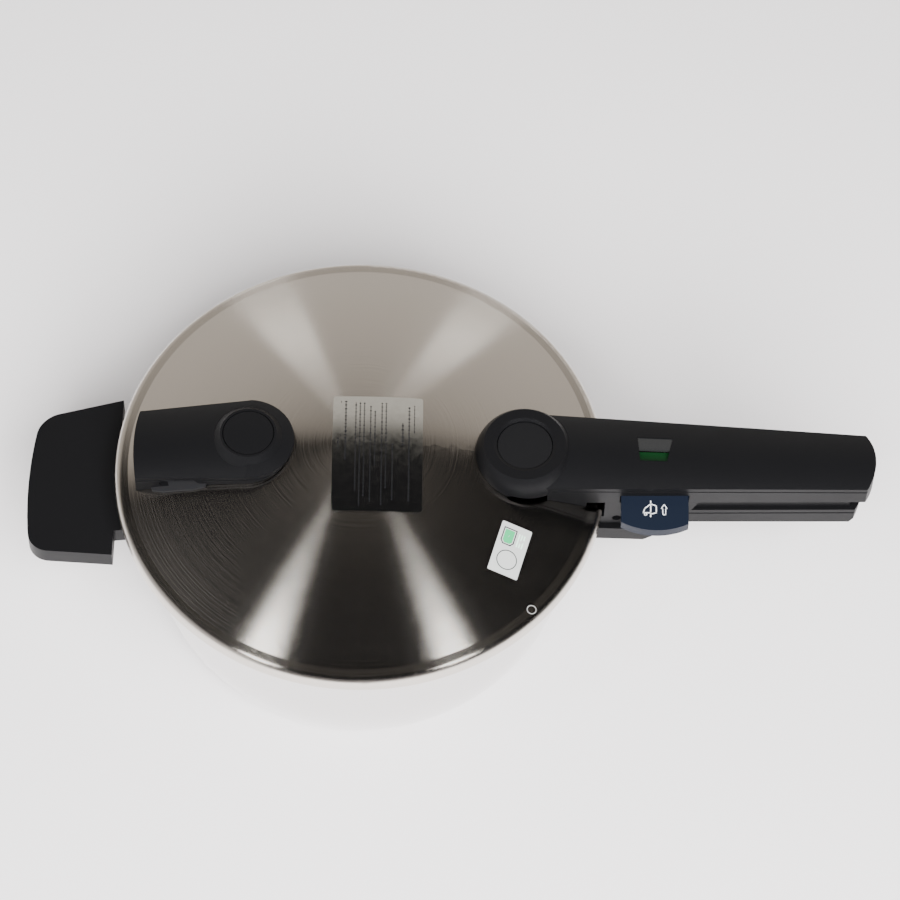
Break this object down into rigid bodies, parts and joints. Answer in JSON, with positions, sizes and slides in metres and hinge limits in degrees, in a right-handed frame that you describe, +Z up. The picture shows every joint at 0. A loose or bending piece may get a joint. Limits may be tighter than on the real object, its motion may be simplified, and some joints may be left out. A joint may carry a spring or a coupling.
{
  "type": "pressure cooker",
  "caption": "Stovetop pressure cooker: polished steel pot with capsule base, brushed bayonet lid, long handle with valve hub and steam slide, left grip with push button.",
  "frame": {"origin": "centre of the flat base face on the pot's axis", "axes": "+Z up along the pot's axis, +X towards the end of the long handles, +Y to the left of a cook who holds them"},
  "size_m": [0.4247, 0.246, 0.1315],
  "materials": {
    "polished_steel": "mirror polish",
    "aluminium_core": "as rolled",
    "base_steel": "turned satin",
    "bracket_steel": "satin",
    "black_plastic": "satin black, fine grain",
    "inner_plastic": "matt black",
    "fastener_steel": "plain",
    "brushed_steel": "circular brushed",
    "grey_rubber": "matt",
    "grey_lens": "tinted, clear",
    "soft_disc": "matt",
    "black_rubber": "matt",
    "valve_brass": "turned",
    "spring_steel": "drawn wire",
    "valve_steel": "turned",
    "navy_plastic": "glossy navy",
    "green_plastic": "green",
    "silver_label": "silver foil, blank",
    "white_label": "white paper, blank"
  },
  "bodies": {
    "pot": {"pot_body": "polished_steel", "base_core": "aluminium_core", "base_cap": "base_steel", "handle_bracket": "bracket_steel", "flame_guard": "black_plastic", "pot_handle": "black_plastic", "handle_screw": "fastener_steel", "helper_bracket": "bracket_steel", "helper_handle": "black_plastic", "helper_screws": "fastener_steel"},
    "lid": {"lid_shell": "brushed_steel", "sealing_ring": "grey_rubber", "lid_handle_top": "black_plastic", "lid_handle_base": "inner_plastic", "handle_top_screws": "fastener_steel", "lid_stud": "fastener_steel", "stud_nut": "fastener_steel", "window_lens": "grey_lens", "hub_disc": "soft_disc", "valve_gasket": "black_rubber", "valve_body": "valve_brass", "valve_nut": "fastener_steel", "regulator_spring": "spring_steel", "lock_spring": "spring_steel", "grip_shell": "black_plastic", "grip_base": "inner_plastic", "relief_gasket": "black_rubber", "relief_body": "valve_brass", "relief_nut": "fastener_steel", "button_spring": "spring_steel", "safety_gasket": "black_rubber", "safety_body": "valve_brass", "safety_nut": "fastener_steel", "safety_spring": "spring_steel", "centre_label": "silver_label", "side_label": "white_label"},
    "regulator": {"regulator_poppet": "valve_steel"},
    "slide": {"release_slide": "navy_plastic"},
    "vent": {"vent_slider": "bracket_steel"},
    "lock": {"lock_pin": "valve_steel"},
    "flag": {"status_flag": "green_plastic"},
    "button": {"push_button": "black_plastic", "relief_seal": "black_rubber"},
    "safety": {"safety_poppet": "valve_steel"}
  },
  "joints": [
    {"name": "lid_turn", "type": "hinge", "parent": "pot", "child": "lid", "pos_m": [0, 0, 0.1], "axis": [0, 0, 1], "range_deg": [0, 36]},
    {"name": "regulator_lift", "type": "slide", "parent": "lid", "child": "regulator", "axis": [0, 0, 1], "range_m": [0, 0.002], "stiffness_N_per_m": 900, "springref_m": -0.002, "deforming": ["regulator_spring"]},
    {"name": "slide_push", "type": "slide", "parent": "lid", "child": "slide", "axis": [0, 1, 0], "range_m": [0, 0.007]},
    {"name": "vent_shift", "type": "slide", "parent": "lid", "child": "vent", "axis": [-1, 0, 0], "range_m": [0, 0.0021]},
    {"name": "lock_drop", "type": "slide", "parent": "lid", "child": "lock", "axis": [0, 0, 1], "range_m": [-0.003, 0], "stiffness_N_per_m": 400, "springref_m": 0.004, "deforming": ["lock_spring"]},
    {"name": "flag_shift", "type": "slide", "parent": "lid", "child": "flag", "axis": [0, 1, 0], "range_m": [0, 0.0045]},
    {"name": "button_press", "type": "slide", "parent": "lid", "child": "button", "axis": [0, 0, 1], "range_m": [-0.002, 0], "stiffness_N_per_m": 1200, "springref_m": 0.002, "deforming": ["button_spring"]},
    {"name": "safety_lift", "type": "slide", "parent": "lid", "child": "safety", "axis": [0, 0, 1], "range_m": [0, 0.0015], "stiffness_N_per_m": 1500, "springref_m": -0.002, "deforming": ["safety_spring"]}
  ],
  "couplings": [
    {"joint": "vent_shift", "follows": "slide_push", "ratio": 0.3},
    {"joint": "flag_shift", "follows": "lock_drop", "ratio": -1.5}
  ]
}
